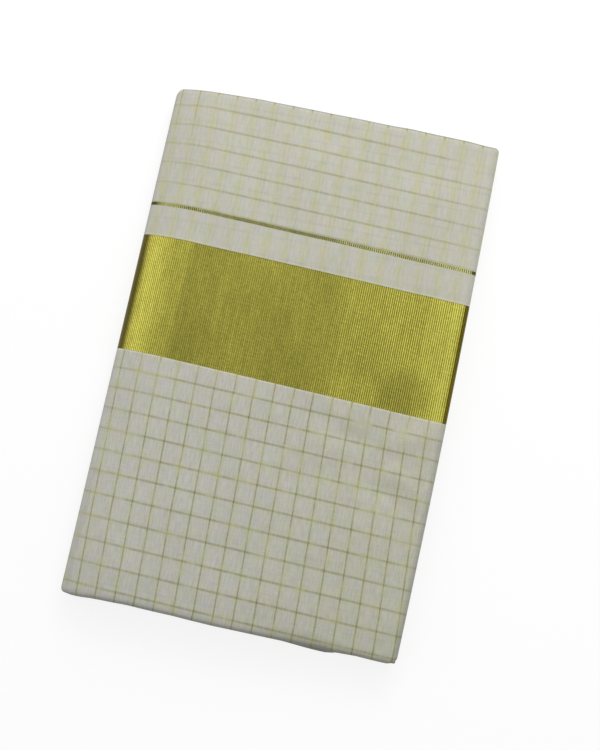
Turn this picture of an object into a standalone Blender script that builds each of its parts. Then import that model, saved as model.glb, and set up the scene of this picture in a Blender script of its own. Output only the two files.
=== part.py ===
"""A kasavu saree folded into a flat packet: metres, +Z up, +Y towards the packet's far end.

The outer stretch of cloth is one wall that starts tucked in at the right, rolls over the right fold, runs
across the front, wraps the round spine on the left and runs back under the packet. Its woven zones are separate
objects: the checked fields, the thin zari line and the wide gold band. The hidden leaves inside are one block
that is layered at its edges.
"""
import math

import bmesh
import bpy
import numpy as np
from mathutils import Vector

# Whole packet
WIDTH = 0.251
LENGTH = 0.3915
LEFT_EDGE = -WIDTH / 2
SPINE_HEIGHT = 0.0235
FOLD_HEIGHT = 0.0200
CROWN = 0.0008
RIGHT_BOW = 0.0015

# Outer stretch: several plies of cotton that lie as one wall
WALL = 0.0022
FOLD_RADIUS = 0.0040
TUCK = 0.0060
UNDER_EDGE_IN = 0.0012
NEAR_END_IN = 0.0018
RIM_RADIUS = 0.0030
RIM_TURN = math.radians(72)
RIM_TIP_ANGLES = [math.radians(a) for a in (45, 78)]

# Spine: the front falls over a long shoulder to the nose, and the underside turns up to it in a short round.
# The power is that of the shoulder's superellipse.
SHOULDER_DEPTH = 0.0360
SHOULDER_POWER = 1.65
NOSE_DEPTH = 0.0090
NOSE_HEIGHT = 0.0090

# How far the corners of the outer stretch are rounded back, seen from above
CORNERS = {
    "far_left": 0.0060,
    "far_right": 0.0026,
    "near_left": 0.0030,
    "near_right": 0.0018,
}

# Borders of the woven zones: y on the front's middle line, and how much y grows along the cloth to the left
BORDERS = {
    "line_far": {"at": 0.1012, "skew": 0.0235},
    "line_near": {"at": 0.0987, "skew": 0.0235},
    "band_far": {"at": 0.0751, "skew": 0.0250},
    "band_near": {"at": -0.0138, "skew": 0.0262},
}

# Gap between neighbouring pieces
GAP = 0.0003

# Hidden leaves, from the underside up. low and high are shares of the block's height, side_in is how far the
# right side lies in, far_in and near_in how far the two ends lie in, and plies has a number for each bundle of
# plies: how much further in that bundle's rounded end lies.
LEAVES = [
    {"low": 0.00, "high": 0.10, "side_in": 0.0016, "far_in": 0.0042, "near_in": 0.0060, "plies": [0]},
    {"low": 0.12, "high": 0.35, "side_in": 0.0010, "far_in": 0.0010, "near_in": 0.0006, "plies": [0.0006, 0]},
    {"low": 0.37, "high": 0.60, "side_in": 0.0005, "far_in": 0.0004, "near_in": 0.0000, "plies": [0.0004, 0]},
    {"low": 0.62, "high": 0.78, "side_in": 0.0150, "far_in": 0.0014, "near_in": 0.0034, "plies": [0]},
    {"low": 0.81, "high": 1.00, "side_in": 0.0026, "far_in": 0.0042, "near_in": 0.0060, "plies": [0]},
]
PLY_GROOVE = 0.0014
PLY_ROUND = (-1.0, -0.6, 0.0, 0.6, 1.0)

# How far the leaves' own folds lie in from the nose, and how deep the block is rounded there
SPINE_IN = 0.0080
SPINE_ROUND = 0.0060

# Near end of the hidden leaves: they draw back right of this place, by this much
STEP_BACK_AT = 0.0770
STEP_BACK_RUN = 0.0040
STEP_BACK = 0.0022

# Mesh steps
SHARP_ANGLE = math.radians(40)
FOLD_STEPS = 7
FRONT_STEPS = 11
SHOULDER_STEPS = 12
NOSE_STEPS = 5
UNDER_STEPS = 9
RIM_STEPS = 3
LIP_ANGLES = [math.radians(a) for a in (40, 90, 140)]
ZONE_STEPS = {"field_upper": 7, "zari_line": 1, "field_gap": 2, "kasavu_band": 6, "field_lower": 12}
BLOCK_COLUMNS = 12
BLOCK_STATIONS = [
    {"side": -1, "from_end": 0.000},
    {"side": -1, "from_end": 0.006},
    {"side": -1, "from_end": 0.120},
    {"side": 1, "from_end": 0.120},
    {"side": 1, "from_end": 0.006},
    {"side": 1, "from_end": 0.000},
]

# Colour, roughness and metallic value of the two yarns
MATERIALS = {
    "cotton": {"color": (0.60, 0.58, 0.47, 1.0), "roughness": 0.85, "metallic": 0.0},
    "zari": {"color": (0.50, 0.44, 0.07, 1.0), "roughness": 0.38, "metallic": 0.7},
}


def smooth(value):
    """Ease from 0 to 1 with level ends."""
    share = min(1.0, max(0.0, value))
    return share * share * (3.0 - 2.0 * share)


def right_edge(y):
    """The right side bows out a little at its middle."""
    return WIDTH / 2 - RIGHT_BOW * (2 * y / LENGTH) ** 2


def front_height(share):
    """Height of the front from the shoulder (share 0) to the right fold (share 1): crowned, level beyond."""
    share = min(1.0, max(0.0, share))
    slope = SPINE_HEIGHT + (FOLD_HEIGHT - SPINE_HEIGHT) * smooth(share)
    return slope + CROWN * 16 * share ** 2 * (1 - share) ** 2


def front_ends(y):
    """Where the front leaves the shoulder and where it meets the right fold."""
    return LEFT_EDGE + SHOULDER_DEPTH, right_edge(y) - FOLD_RADIUS


def front_point(share, y):
    """Point and outward direction on the front, share 0 at the shoulder."""
    start, end = front_ends(y)
    step = 0.001
    rise = front_height(share + step) - front_height(share - step)
    run = 2 * step * (end - start)
    return (start + share * (end - start), front_height(share)), Vector((-rise, run)).normalized()


def fold_point(angle, y):
    """Point and outward direction on the right fold's roll."""
    out = Vector((math.cos(angle), math.sin(angle)))
    centre = Vector((right_edge(y) - FOLD_RADIUS, FOLD_HEIGHT - FOLD_RADIUS))
    return tuple(centre + FOLD_RADIUS * out), out


def shoulder_point(angle):
    """Point and outward direction on the shoulder, from its top (angle 0) to the nose (a quarter turn)."""
    rise = SPINE_HEIGHT - NOSE_HEIGHT
    across = max(0.0, math.sin(angle)) ** (2 / SHOULDER_POWER)
    up = max(0.0, math.cos(angle)) ** (2 / SHOULDER_POWER)
    bend = SHOULDER_POWER - 1
    out = Vector((-across ** bend / SHOULDER_DEPTH, up ** bend / rise)).normalized()
    return (LEFT_EDGE + SHOULDER_DEPTH * (1 - across), NOSE_HEIGHT + rise * up), out


def nose_point(angle):
    """Point and outward direction on the round below the nose, down to the underside (a quarter turn)."""
    x = LEFT_EDGE + NOSE_DEPTH * (1 - math.cos(angle))
    out = Vector((-math.cos(angle) / NOSE_DEPTH, -math.sin(angle) / NOSE_HEIGHT)).normalized()
    return (x, NOSE_HEIGHT * (1 - math.sin(angle))), out


def section(y):
    """Outer line of the outer stretch, from the tuck at the right round to the underside's right edge."""
    tuck_z = FOLD_HEIGHT - 2 * FOLD_RADIUS
    down = Vector((0, -1))
    points = [((right_edge(y) - FOLD_RADIUS - TUCK, tuck_z), down)]
    for step in range(FOLD_STEPS + 1):
        points.append(fold_point(math.pi * (step / FOLD_STEPS - 0.5), y))
    for step in range(1, FRONT_STEPS):
        points.append(front_point(1 - step / FRONT_STEPS, y))
    for step in range(SHOULDER_STEPS + 1):
        points.append(shoulder_point(math.pi / 2 * step / SHOULDER_STEPS))
    for step in range(1, NOSE_STEPS + 1):
        points.append(nose_point(math.pi / 2 * step / NOSE_STEPS))
    start, end = LEFT_EDGE + NOSE_DEPTH, right_edge(y) - UNDER_EDGE_IN - WALL / 2
    for step in range(1, UNDER_STEPS + 1):
        points.append(((start + (end - start) * step / UNDER_STEPS, 0.0), down))
    return points


def section_lengths():
    """Length along the outer line from the front's middle, growing towards the spine."""
    points = [Vector(p) for p, _ in section(0)]
    lengths = [0.0]
    for a, b in zip(points, points[1:]):
        lengths.append(lengths[-1] + (b - a).length)
    front = range(FOLD_STEPS + 1, FOLD_STEPS + FRONT_STEPS + 2)
    middle = min(front, key=lambda i: abs(points[i].x))
    return [length - lengths[middle] - points[middle].x for length in lengths]


def corner_back(x, side):
    """How far the outer stretch's end draws back near a corner; side is 1 far, -1 near."""
    far = side > 0
    left = CORNERS["far_left" if far else "near_left"]
    right = CORNERS["far_right" if far else "near_right"]
    back = 0.0
    for radius, distance in ((left, x - LEFT_EDGE), (right, WIDTH / 2 - x)):
        if distance < radius:
            back += radius - math.sqrt(max(0.0, radius ** 2 - (radius - distance) ** 2))
    return back


def end_line(side):
    """Y of the outer stretch's end for each point of the section; side is 1 far, -1 near."""
    reach = LENGTH / 2 - (0 if side > 0 else NEAR_END_IN)
    return [side * (reach - corner_back(p[0], side)) for p, _ in section(side * reach)]


def border(name):
    """Y of a zone's border for each point of the section; it runs on round the spine with the same skew."""
    row = BORDERS[name]
    return [row["at"] + row["skew"] * length for length in section_lengths()]


def rim_stations():
    """Outer and inner points of a turned-in end: distance from the end, and depth below the outer surface."""
    stations = []
    inner_radius = RIM_RADIUS - WALL
    for step in range(RIM_STEPS + 1):
        turn = RIM_TURN * step / RIM_STEPS
        outer = (RIM_RADIUS * (1 - math.sin(turn)), RIM_RADIUS * (1 - math.cos(turn)))
        inner = (RIM_RADIUS - inner_radius * math.sin(turn), RIM_RADIUS - inner_radius * math.cos(turn))
        stations.append((outer, inner))
    outer, inner = (Vector(p) for p in stations[-1])
    middle, half = (outer + inner) / 2, (outer - inner) / 2
    onward = Vector((-math.cos(RIM_TURN), math.sin(RIM_TURN))) * half.length
    for angle in RIM_TIP_ANGLES:
        tip = middle + onward * math.sin(angle)
        stations.append((tuple(tip + half * math.cos(angle)), tuple(tip - half * math.cos(angle))))
    return stations


def wall_ring(ys, outer=(0.0, 0.0), inner=(0.0, WALL), side=1):
    """Closed ring of the wall's section. ys gives each point's y; outer and inner are a rim's station."""
    lines = []
    for away, depth in (outer, inner):
        line = []
        for index, y in enumerate(ys):
            place = y - side * away
            (x, z), out = section(place)[index]
            line.append(Vector((x - out.x * depth, place, z - out.y * depth)))
        lines.append(line)
    front, back = lines
    under_lip = lip(front[-1], back[-1], front[-2], back[-2])
    tuck_lip = lip(back[0], front[0], back[1], front[1])
    return front + under_lip + back[::-1] + tuck_lip


def lip(first, last, first_inside, last_inside):
    """Rounded edge of the wall, from its first face to its last."""
    middle, half = (first + last) / 2, (first - last) / 2
    onward = (first + last - first_inside - last_inside).normalized() * half.length
    return [middle + half * math.cos(angle) + onward * math.sin(angle) for angle in LIP_ANGLES]


def wall_cap(bm, ring, count):
    """Close a ring of the wall: quads between its outer and inner points, and one face at each lip."""
    lips = len(LIP_ANGLES)
    outer = ring[:count]
    inner = ring[count + lips:2 * count + lips][::-1]
    for i in range(count - 1):
        bm.faces.new((outer[i], outer[i + 1], inner[i + 1], inner[i]))
    bm.faces.new(ring[count - 1:count + lips + 1])
    bm.faces.new(ring[2 * count + lips - 1:] + ring[:1])


def new_object(name, bm, material, collection):
    """Finish a closed mesh as an object of the collection."""
    bmesh.ops.recalc_face_normals(bm, faces=bm.faces)
    mesh = bpy.data.meshes.new(name)
    bm.to_mesh(mesh)
    bm.free()
    mesh.shade_smooth()
    mesh.set_sharp_from_angle(angle=SHARP_ANGLE)
    mesh.materials.append(material)
    obj = bpy.data.objects.new(name, mesh)
    collection.objects.link(obj)
    return obj


def loft(bm, rings):
    """Quads between neighbouring rings; returns the vertices of each ring."""
    rows = [[bm.verts.new(point) for point in ring] for ring in rings]
    for low, high in zip(rows, rows[1:]):
        for i in range(len(low)):
            j = (i + 1) % len(low)
            bm.faces.new((low[i], low[j], high[j], high[i]))
    return rows


def zone_rings(far_line, near_line, far_rim, near_rim, steps):
    """Rings of the wall between two lines. A rim turns that end in; without one it stops half a gap short."""
    far_in = RIM_RADIUS if far_rim else GAP / 2
    near_in = RIM_RADIUS if near_rim else GAP / 2
    rings = []
    for step in range(steps + 1):
        share = step / steps
        rings.append(wall_ring([
            (1 - share) * (far - far_in) + share * (near + near_in)
            for far, near in zip(far_line, near_line)
        ]))
    if far_rim:
        rings = [wall_ring(far_line, outer, inner, 1) for outer, inner in rim_stations()[:0:-1]] + rings
    if near_rim:
        rings += [wall_ring(near_line, outer, inner, -1) for outer, inner in rim_stations()[1:]]
    return rings


def zone(name, far_line, near_line, material, collection, far_rim=False, near_rim=False):
    """One woven zone of the outer stretch, from its far line to its near line."""
    bm = bmesh.new()
    rows = loft(bm, zone_rings(far_line, near_line, far_rim, near_rim, ZONE_STEPS[name]))
    for row in (rows[0], rows[-1]):
        wall_cap(bm, row, len(far_line))
    return new_object(name, bm, material, collection)


def leaf_levels():
    """Levels of the block from the underside up: share of its height, and how far its sides lie in."""
    block_height = FOLD_HEIGHT - 2 * (WALL + GAP)
    levels = []
    for leaf in LEAVES:
        bundles = len(leaf["plies"])
        nose = (leaf["high"] - leaf["low"]) * block_height / 2
        for bundle, further_in in enumerate(leaf["plies"]):
            for lift in PLY_ROUND[1 if bundle else 0:]:
                share = (bundle + (lift + 1) / 2) / bundles
                groove = PLY_GROOVE * (1 - math.sqrt(1 - lift ** 2)) + further_in
                levels.append({
                    "share": leaf["low"] + share * (leaf["high"] - leaf["low"]),
                    "side_in": leaf["side_in"] + nose * (1 - math.sqrt(max(0.0, 1 - (2 * share - 1) ** 2))),
                    "far_in": leaf["far_in"] + groove,
                    "near_in": leaf["near_in"] + groove,
                })
    return levels


def room_inside(x, y):
    """Lowest and highest z of the room inside the outer stretch at a place across."""
    clear = WALL + GAP
    points = [(px - out.x * clear, pz - out.y * clear) for (px, pz), out in section(y)[FOLD_STEPS + 1:]]
    nose = min(range(len(points)), key=lambda i: points[i][0])
    upper, lower = points[nose::-1], points[nose:]
    return [np.interp(x, [p[0] for p in line], [p[1] for p in line]) for line in (lower, upper)]


def block_point(level, column, y):
    """Point of the hidden block at a level, at a column from the spine to the right side."""
    lift = 2 * level["share"] - 1
    round_in = SPINE_ROUND * (1 - math.sqrt(max(0.0, 1 - lift ** 2)))
    left = LEFT_EDGE + WALL + GAP + SPINE_IN + round_in
    right = right_edge(y) - level["side_in"]
    x = left + (right - left) * column / BLOCK_COLUMNS
    low, high = room_inside(x, y)
    return Vector((x, y, low + level["share"] * (high - low)))


def block_end(level, x, side):
    """Y of the block's end at a level and a place across."""
    if side > 0:
        reach = LENGTH / 2 - level["far_in"]
    else:
        reach = LENGTH / 2 - level["near_in"] - STEP_BACK * smooth((x - STEP_BACK_AT) / STEP_BACK_RUN)
    return side * (reach - corner_back(x, side))


def block_stations():
    """The block's points for each station along its length, as a grid of levels and columns."""
    stations = []
    for row in BLOCK_STATIONS:
        grid = []
        for level in leaf_levels():
            points = []
            for column in range(BLOCK_COLUMNS + 1):
                across = block_point(level, column, row["side"] * LENGTH / 2).x
                y = block_end(level, across, row["side"]) - row["side"] * row["from_end"]
                points.append(block_point(level, column, y))
            grid.append(points)
        stations.append(grid)
    return stations


def folded_layers(material, collection):
    """The hidden leaves as one closed block: rings round its stations, and a grid of faces at both ends."""
    bm = bmesh.new()
    stations = block_stations()
    top, right = len(stations[0]) - 1, BLOCK_COLUMNS
    around = [(0, i) for i in range(right)] + [(j, right) for j in range(top)]
    around += [(top, i) for i in range(right, 0, -1)] + [(j, 0) for j in range(top, 0, -1)]
    rows = loft(bm, [[grid[j][i] for j, i in around] for grid in stations])
    for grid, row in ((stations[0], rows[0]), (stations[-1], rows[-1])):
        verts = dict(zip(around, row))
        for j in range(top + 1):
            for i in range(right + 1):
                if (j, i) not in verts:
                    verts[j, i] = bm.verts.new(grid[j][i])
        for j in range(top):
            for i in range(right):
                bm.faces.new((verts[j, i], verts[j, i + 1], verts[j + 1, i + 1], verts[j + 1, i]))
    return new_object("folded_layers", bm, material, collection)


def make_material(name):
    """A Principled material with the yarn's colour."""
    values = MATERIALS[name]
    material = bpy.data.materials.new(name)
    material.use_nodes = True
    shader = material.node_tree.nodes["Principled BSDF"]
    shader.inputs["Base Color"].default_value = values["color"]
    shader.inputs["Roughness"].default_value = values["roughness"]
    shader.inputs["Metallic"].default_value = values["metallic"]
    material.diffuse_color = values["color"]
    return material


def main():
    """Clear the scene and build the packet's six pieces."""
    for obj in list(bpy.data.objects):
        bpy.data.objects.remove(obj)
    collection = bpy.data.collections.new("kasavu_saree")
    bpy.context.scene.collection.children.link(collection)
    cotton = make_material("cotton")
    zari = make_material("zari")
    zone("field_upper", end_line(1), border("line_far"), cotton, collection, far_rim=True)
    zone("zari_line", border("line_far"), border("line_near"), zari, collection)
    zone("field_gap", border("line_near"), border("band_far"), cotton, collection)
    zone("kasavu_band", border("band_far"), border("band_near"), zari, collection)
    zone("field_lower", border("band_near"), end_line(-1), cotton, collection, near_rim=True)
    folded_layers(cotton, collection)


main()
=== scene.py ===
"""The looks of a kasavu saree folded into a flat packet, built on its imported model.

The outer stretch of cloth is five woven zones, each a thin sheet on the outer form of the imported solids. It
starts tucked in at the right, rolls over the right fold, crosses the front, wraps the spine on the left and
runs back underneath. The hidden leaves are nested, folded ribbons. Metres, +Z up, +Y towards the far end.
"""
import math

import bmesh
import bpy
import numpy as np
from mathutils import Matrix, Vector


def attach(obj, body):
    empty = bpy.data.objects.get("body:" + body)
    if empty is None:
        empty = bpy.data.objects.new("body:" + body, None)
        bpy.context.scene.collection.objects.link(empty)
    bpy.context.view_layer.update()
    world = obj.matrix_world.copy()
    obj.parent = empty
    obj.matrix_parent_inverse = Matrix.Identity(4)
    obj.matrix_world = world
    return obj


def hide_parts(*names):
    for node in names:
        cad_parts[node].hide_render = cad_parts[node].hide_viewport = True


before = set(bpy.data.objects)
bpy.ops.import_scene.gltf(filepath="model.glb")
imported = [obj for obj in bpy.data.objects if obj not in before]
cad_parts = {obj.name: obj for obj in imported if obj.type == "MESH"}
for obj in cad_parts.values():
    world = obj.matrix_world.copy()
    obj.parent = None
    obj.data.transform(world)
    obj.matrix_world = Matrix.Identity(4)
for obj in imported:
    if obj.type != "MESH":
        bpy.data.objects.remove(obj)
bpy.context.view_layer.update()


def rows_of(columns, *rows):
    """A table as a list of dicts, from its columns' names and its rows."""
    return [dict(zip(columns.split(), row)) for row in rows]


# Whole packet, as in the part's source but with tighter corners
WIDTH = 0.251
LENGTH = 0.3915
LEFT_EDGE = -WIDTH / 2
SPINE_HEIGHT = 0.0235
FOLD_HEIGHT = 0.0200
CROWN = 0.0008
RIGHT_BOW = 0.0015
WALL = 0.0022
GAP = 0.0003
FOLD_RADIUS = 0.0040
TUCK = 0.0060
UNDER_EDGE_IN = 0.0012
NEAR_END_IN = 0.0018
RIM_RADIUS = 0.0030
SHOULDER_DEPTH = 0.0360
SHOULDER_POWER = 1.65
NOSE_DEPTH = 0.0090
NOSE_HEIGHT = 0.0090
# Radii of the corners, left and right, at the far end (1) and at the near end (-1)
CORNERS = {1: (0.0044, 0.0020), -1: (0.0010, 0.0010)}
BORDERS = {
    "line_far": {"at": 0.1012, "skew": 0.0235},
    "line_near": {"at": 0.0987, "skew": 0.0235},
    "band_far": {"at": 0.0751, "skew": 0.0250},
    "band_near": {"at": -0.0138, "skew": 0.0262},
}
# Near ends of the hidden leaves: they come out from PEEP_FROM on, and draw back at STEP_BACK_AT
STEP_BACK_AT = 0.0782
STEP_BACK_RUN = 0.0040
STEP_BACK = 0.0022
PEEP_FROM = 0.0050
PEEP_RUN = 0.0650
# How far the visible sheet's ends stay inside the solids'
END_IN = 0.0002

# How far the folded ends stand out of a straight line, at places across, both in millimetres
MM = 0.001
FAR_WAVE = [
    (-124, -0.3), (-119, -0.6), (-107, -0.9), (-99, -0.9), (-92, -0.9), (-84, -0.6), (-76, -0.3),
    (-68, -0.1), (-58, 0.1), (-47, -0.1), (-36, 0), (-26, 0.1), (-14, 0.1), (-4, 0), (8, 0.1), (20, 0.1),
    (35, -0.2), (46, -0.1), (57, 0.4), (66, 0.2), (78, 0), (90, -0.2), (101, -0.3), (112, -0.9), (124, -1),
]
NEAR_WAVE = [
    (-124, 0.3), (-117, 0.9), (-109, 0.6), (-102, -0.1), (-94, -0.5), (-83, -0.7), (-74, -1.1), (-65, -0.8),
    (-50, -0.6), (-40, -0.6), (-28, -0.2), (-10, 0.2), (10, 0.1), (28, 0.1), (42, 0), (50, -0.2),
    (60, -0.4), (70, -0.7), (75, -0.3), (80, -0.1), (95, -0.7), (110, -0.2), (117.5, -0.2), (120.8, -1.2),
    (124.5, -3),
]

# The visible sheet
CLOTH = 0.0009
EDGE_BUNDLE = 0.0022
EDGE_RUN = 0.0200
EDGE_PLIES = 4
RIM_TURN = math.radians(112)
RIM_STEPS = 9
RIM_LEAST = 0.0004
TIP_TURN = math.radians(84)
TIP_STEPS = 4
# How much a turned-in end adds to the cloth's length up to that end
BORDER_GAP = 0.00004
# Length past the nose over which the front's unevenness fades
UNDER_FADE = 0.012
SHARP_ANGLE = math.radians(50)

# Stations across the section, and the samples that space those of a curve
TUCK_STEPS = 4
FOLD_STEPS = 22
FRONT_STEPS = 118
SHOULDER_STEPS = 40
NOSE_STEPS = 12
UNDER_STEPS = 44
CURVE_SAMPLES = 400
ZONE_STEPS = {"field_upper": 54, "zari_line": 3, "field_gap": 14, "kasavu_band": 52, "field_lower": 104}

# Check of fine zari threads. Warp threads run along the packet: at each y, how far right their middle one
# lies, and the distance between them on both sides of it. The last one before the spine stands further out.
WARPS = rows_of(
    "y middle left right",
    (-0.185, 0.0042, 0.01455, 0.01474),
    (-0.16, 0.0032, 0.01454, 0.0147),
    (-0.13, 0.0018, 0.01456, 0.01463),
    (-0.1, 0.0007, 0.01454, 0.01452),
    (-0.07, -0.0005, 0.01451, 0.01443),
    (-0.03, -0.0022, 0.01449, 0.01436),
    (0.11, -0.0024, 0.01441, 0.01441),
    (0.142, -0.0029, 0.0145, 0.0145),
    (0.185, -0.0039, 0.01455, 0.01458),
)
WARP_OUT_FROM = -0.1060
WARP_OUT_RUN = 0.0100
WARP_OUT = 0.0011
# Weft threads cross the packet: the y of each at WEFT_AT across, how much they fall per metre to the right,
# and how far they droop to the left near the far end. The gold band and the gap above it show none.
WEFT_AT = -0.010
WEFTS = [
    -0.2189, -0.2029, -0.1867, -0.1705, -0.1541, -0.1373, -0.1207, -0.1043, -0.0886, -0.0731, -0.0576,
    -0.0421, -0.0272, -0.0114, 0.1021, 0.1179, 0.1337, 0.1489, 0.1646, 0.1805, 0.1975, 0.2140,
]
WEFT_FALL = [(-0.19, 0.0195), (-0.12, 0.0205), (-0.03, 0.0212), (0.1, 0.0217), (0.19, 0.0217)]
DROOP = 0.0016
DROOP_FROM = -0.020
DROOP_RUN = 0.095
DROOP_LOW = 0.140
DROOP_RISE = 0.041
# The same threads of the ply beneath, which show through faintly
GHOST_WEFTS = [
    -0.1957, -0.1802, -0.1643, -0.1488, -0.1332, -0.1177, -0.1022, -0.0867, -0.0712, -0.0557, -0.0402,
    0.0779, 0.0934, 0.1091, 0.1246, 0.1401, 0.1559, 0.1711, 0.1871, 0.2026,
]
GHOST_RISE = 0.012
# Added to the threads' numbers, which keeps them positive
THREAD_SHIFT = 100
# Ribs of the gold weave, which run along the packet
RIB_PITCH = 0.001585

# Soft troughs and ridges on the front, listed one by one, turns in degrees
FOLDS = rows_of(
    "x y long wide turn height",
    (0.064, -0.042, 0.034, 0.008, -18, -0.001),
    (0.092, -0.012, 0.045, 0.012, 80, -0.0009),
    (0.06, 0.0, 0.05, 0.014, 84, 0.0007),
    (0.045, -0.07, 0.04, 0.009, 20, -0.0006),
    (0.088, -0.056, 0.03, 0.007, -30, 0.0008),
    (0.1, -0.035, 0.022, 0.007, 30, 0.0008),
    (0.096, -0.078, 0.028, 0.006, -24, -0.0006),
    (0.03, -0.028, 0.03, 0.008, -12, -0.0005),
    (-0.06, -0.12, 0.09, 0.022, 4, 0.0003),
    (0.03, -0.15, 0.08, 0.02, -6, -0.0003),
    (-0.03, 0.15, 0.1, 0.02, 2, 0.0003),
    (0.05, 0.17, 0.06, 0.016, -10, -0.0003),
    (-0.09, 0.03, 0.06, 0.014, 82, 0.0003),
)
SHOULDER_DROP = 0.0011
SHOULDER_DROP_RUN = 0.0300
NEAR_DROP = 0.0012
NEAR_DROP_RUN = 0.0320
WAVES = rows_of(
    "across along phase height",
    (0.071, 0.113, 0.4, 0.00016),
    (-0.118, 0.083, 2.1, 0.00014),
    (0.047, -0.151, 4.0, 0.0001),
)

# Camera: its place, and its turns about X, Y and Z in degrees from looking straight down
CAMERA_PLACE = (0.07865, -0.12058, 0.96418)
CAMERA_TURN = (7.72, 2.37, 12.12)
CAMERA_LENS = 62.4


def smooth(value):
    """Ease from 0 to 1 with level ends, for numbers and arrays."""
    share = np.clip(value, 0.0, 1.0)
    return share * share * (3.0 - 2.0 * share)


def table(rows, y, key=0, value=1):
    """Straight-line reading of a table at y."""
    return np.interp(y, [r[key] for r in rows], [r[value] for r in rows])


def right_edge(y):
    return WIDTH / 2 - RIGHT_BOW * (2 * y / LENGTH) ** 2


def front_height(share):
    share = np.clip(share, 0.0, 1.0)
    slope = SPINE_HEIGHT + (FOLD_HEIGHT - SPINE_HEIGHT) * smooth(share)
    return slope + CROWN * 16 * share ** 2 * (1 - share) ** 2


def unit(nx, nz):
    size = np.sqrt(nx * nx + nz * nz)
    return nx / size, nz / size


def front_point(share, y):
    start, end = LEFT_EDGE + SHOULDER_DEPTH, right_edge(y) - FOLD_RADIUS
    step = 0.001
    rise = front_height(share + step) - front_height(share - step)
    nx, nz = unit(-rise, 2 * step * (end - start))
    return start + share * (end - start), front_height(share), nx, nz


def fold_point(angle, y):
    nx, nz = math.cos(angle), math.sin(angle)
    return right_edge(y) - FOLD_RADIUS * (1 - nx), FOLD_HEIGHT - FOLD_RADIUS * (1 - nz), nx, nz


def tuck_point(inward, y):
    return right_edge(y) - FOLD_RADIUS - inward, FOLD_HEIGHT - 2 * FOLD_RADIUS, 0, -1


def shoulder_point(angle, y):
    rise = SPINE_HEIGHT - NOSE_HEIGHT
    across = max(0.0, math.sin(angle)) ** (2 / SHOULDER_POWER)
    up = max(0.0, math.cos(angle)) ** (2 / SHOULDER_POWER)
    bend = SHOULDER_POWER - 1
    nx, nz = unit(-across ** bend / SHOULDER_DEPTH, up ** bend / rise)
    return LEFT_EDGE + SHOULDER_DEPTH * (1 - across), NOSE_HEIGHT + rise * up, nx, nz


def nose_point(angle, y):
    nx, nz = unit(-math.cos(angle) / NOSE_DEPTH, -math.sin(angle) / NOSE_HEIGHT)
    return LEFT_EDGE + NOSE_DEPTH * (1 - math.cos(angle)), NOSE_HEIGHT * (1 - math.sin(angle)), nx, nz


def under_point(share, y):
    start, end = LEFT_EDGE + NOSE_DEPTH, right_edge(y) - UNDER_EDGE_IN - EDGE_BUNDLE / 2
    return start + share * (end - start), 0, 0, -1


def even_angles(point, count):
    """Angles from 0 to a quarter turn that give even steps along a curve."""
    dense = np.linspace(0, math.pi / 2, CURVE_SAMPLES)
    places = np.array([point(a, 0.0)[:2] for a in dense])
    run = np.concatenate([[0], np.cumsum(np.hypot(*np.diff(places, axis=0).T))])
    return np.interp(np.linspace(0, run[-1], count + 1), run, dense)


def stations():
    """The section's stations from the tuck round to the underside's right edge."""
    rows = [(tuck_point, TUCK * (1 - step / TUCK_STEPS)) for step in range(TUCK_STEPS)]
    rows += [(fold_point, math.pi * (step / FOLD_STEPS - 0.5)) for step in range(FOLD_STEPS + 1)]
    rows += [(front_point, 1 - step / FRONT_STEPS) for step in range(1, FRONT_STEPS)]
    rows += [(shoulder_point, angle) for angle in even_angles(shoulder_point, SHOULDER_STEPS)]
    rows += [(nose_point, angle) for angle in even_angles(nose_point, NOSE_STEPS)[1:]]
    return rows + [(under_point, step / UNDER_STEPS) for step in range(1, UNDER_STEPS + 1)]


STATIONS = stations()
COUNT = len(STATIONS)


def section(ys):
    """Outer line at the y of each station: x, z and the outward direction, as arrays."""
    return np.array([point(value, y) for (point, value), y in zip(STATIONS, ys)], float).T


def developed():
    """Length along the section from the front's middle, positive to the right."""
    x, z, _, _ = section(np.zeros(COUNT))
    run = np.concatenate([[0], np.cumsum(np.hypot(np.diff(x), np.diff(z)))])
    first, last = TUCK_STEPS + FOLD_STEPS, TUCK_STEPS + FOLD_STEPS + FRONT_STEPS
    middle = np.interp(0, x[first:last][::-1], run[first:last][::-1])
    return middle - run


ACROSS = developed()
# Where the front meets the right fold, and the shoulder the nose, as lengths across the cloth
ROLL_AT = ACROSS[TUCK_STEPS + FOLD_STEPS]
NOSE_AT = ACROSS[TUCK_STEPS + FOLD_STEPS + FRONT_STEPS + SHOULDER_STEPS]


def corner_back(x, side):
    """How far an end draws back near a corner; side is 1 far, -1 near."""
    left, right = CORNERS[side]
    back = np.zeros_like(x)
    for radius, distance in ((left, x - LEFT_EDGE), (right, WIDTH / 2 - x)):
        inside = np.clip(radius - distance, 0, radius)
        back = back + radius - np.sqrt(radius ** 2 - inside ** 2)
    return back


def end_wave(x, side):
    """Unevenness of the folded ends."""
    return MM * table(FAR_WAVE if side > 0 else NEAR_WAVE, x / MM)


def end_line(side):
    reach = LENGTH / 2 - (0 if side > 0 else NEAR_END_IN)
    x = section(np.full(COUNT, side * reach))[0]
    return side * (reach - corner_back(x, side) - END_IN + end_wave(x, side))


def border(name):
    row = BORDERS[name]
    return row["at"] - row["skew"] * ACROSS


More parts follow.
